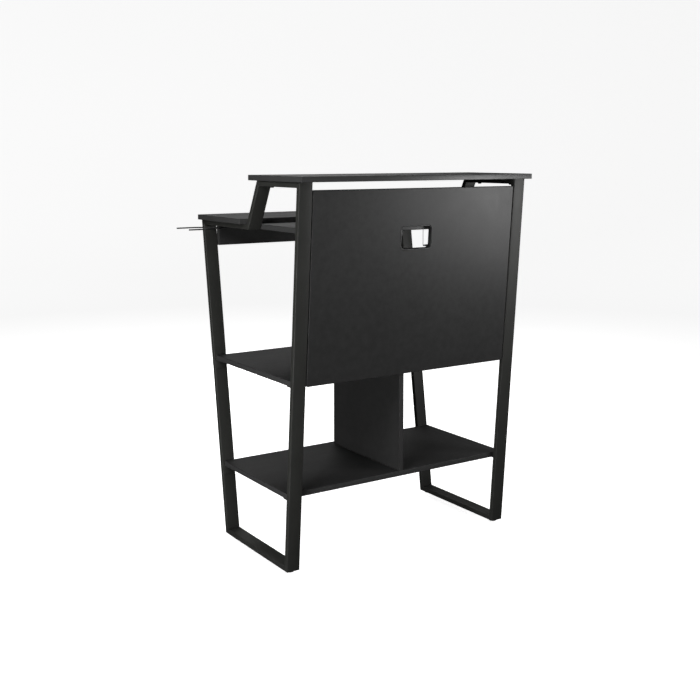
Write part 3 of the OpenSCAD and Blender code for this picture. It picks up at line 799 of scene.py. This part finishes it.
def make_glide(corner):
    """A moulded pad and its threaded stud, which slide down together out of the runner."""
    body = corner + "_glide"
    low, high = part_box(corner + "_pad")
    stud_low, stud_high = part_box(corner + "_stud")
    centre = ((low.x + high.x) / 2, (low.y + high.y) / 2, 0)
    radius = (high.x - low.x) / 2
    foot_r = (stud_high.x - stud_low.x) / 2
    foot_z = stud_low.z
    pad = [(0, low.z + RIB_D), (radius * RIB_IN, low.z + RIB_D), (radius * RIB_OUT, low.z)]
    pad += arc((radius - PAD_ROUND, low.z + PAD_ROUND), PAD_ROUND, 270, 360, PAD_STEPS)
    pad += arc((radius - PAD_ROUND, high.z - PAD_ROUND), PAD_ROUND, 0, 90, PAD_STEPS)
    pad += [(foot_r + STUD_EDGE, high.z), (foot_r, high.z - STUD_EDGE), (foot_r, foot_z), (0, foot_z)]
    thing = lathe(corner + "_pad_moulded", pad, centre, GLIDE_SIDES)
    finish_piece(thing, PLASTIC, [corner + "_pad"], body, GLIDE_SMOOTH)
    stud = [(0, foot_z), (foot_r - STUD_EDGE, foot_z), (foot_r, foot_z + STUD_EDGE)]
    stud += [(foot_r, high.z - STUD_EDGE), (foot_r - STUD_EDGE, high.z), (STUD_R, high.z)]
    height = high.z + STUD_EDGE
    stud.append((STUD_R, height))
    while height + THREAD_PITCH < stud_high.z - STUD_TIP:
        stud.append((STUD_R - THREAD_DEPTH, height + THREAD_PITCH * 0.45))
        stud.append((STUD_R - THREAD_DEPTH, height + THREAD_PITCH * 0.55))
        stud.append((STUD_R, height + THREAD_PITCH * 0.95))
        height += THREAD_PITCH
        stud.append((STUD_R, height))
    stud += [(STUD_R - THREAD_DEPTH, stud_high.z), (0, stud_high.z)]
    thing = lathe(corner + "_stud_threaded", stud, centre, GLIDE_SIDES)
    finish_piece(thing, ZINC, [corner + "_stud"], body, GLIDE_SMOOTH)


# ---------------------------------------------------------------- plates, tabs and angles

EASED = {                       # how wide the rounding of each part's edges is
    "hook_plate": 0.5 * MM,
    "cup_arm": 0.5 * MM,
    "deck_angles": 0.4 * MM,
    "lower_shelf_tabs": 0.4 * MM,
    "middle_shelf_tabs": 0.4 * MM,
    "deck_tabs": 0.4 * MM,
    "panel_tabs": 0.4 * MM,
}
SAME_POINT = 0.002 * MM         # points this near to each other are merged
FLAT_LIMIT = math.radians(1)    # faces that meet at less than this are one flat face
EDGE_LIMIT = math.radians(50)   # edges sharper than this are eased


def eased(node, width):
    """The CAD part with its sharp edges rounded a little, as after deburring and coating."""
    bm = bmesh.new()
    bm.from_mesh(frame["nodes"][node].data)
    bmesh.ops.remove_doubles(bm, verts=bm.verts, dist=SAME_POINT)
    bmesh.ops.dissolve_limit(bm, angle_limit=FLAT_LIMIT, verts=bm.verts, edges=bm.edges)
    rim = bm.faces.layers.float.new("rim")
    sharp = [e for e in bm.edges if len(e.link_faces) == 2 and e.calc_face_angle(0) > EDGE_LIMIT]
    made = bmesh.ops.bevel(
        bm, geom=sharp, offset=width, segments=2, profile=0.5, affect="EDGES", clamp_overlap=True
    )
    mark(made["faces"], rim)
    slot = next(p["material_slot"] for p in frame["record"]["subparts"] if p["node"] == node)
    thing = new_object(node + "_eased", bm)
    finish_piece(thing, BY_SLOT[slot], [node], TABLE, EDGE_LIMIT)


# ---------------------------------------------------------------- studio floor

FLOOR_Z = -7.2 * MM             # room for the glides, which reach 7 mm down at their limit
FLOOR_R = 2.2                   # the floor is flat this far out
WALL_R = 6.5
WALL_H = 4.0
SWEEP_R = 1.6                   # the curve from floor to wall
SWEEP_STEPS = 12
STUDIO_SIDES = 96


def make_studio():
    """A round paper floor that curves up into its wall, and that throws no light on the table."""
    profile = [(0, 0), (FLOOR_R, 0)]
    sweep = arc((0, 0), SWEEP_R, 270, 360, SWEEP_STEPS)
    profile += [(WALL_R - SWEEP_R + x, SWEEP_R + z) for x, z in sweep]
    profile += [(WALL_R, WALL_H)]
    floor = lathe("studio_floor", profile, (0, 0, FLOOR_Z), STUDIO_SIDES)
    floor.data.materials.append(make_floor_paint("studio_paper"))
    floor.data.polygons.foreach_set("use_smooth", [True] * len(floor.data.polygons))
    floor.visible_glossy = False
    floor.visible_diffuse = False


# ---------------------------------------------------------------- build

make_camera()
make_lights()
paint_cad_nodes()
make_boards()
make_panel()
make_frames()
make_hook()
make_cup()
for corner in ("front_right", "rear_right", "front_left", "rear_left"):
    make_glide(corner)
for eased_node, eased_width in EASED.items():
    eased(eased_node, eased_width)
make_studio()
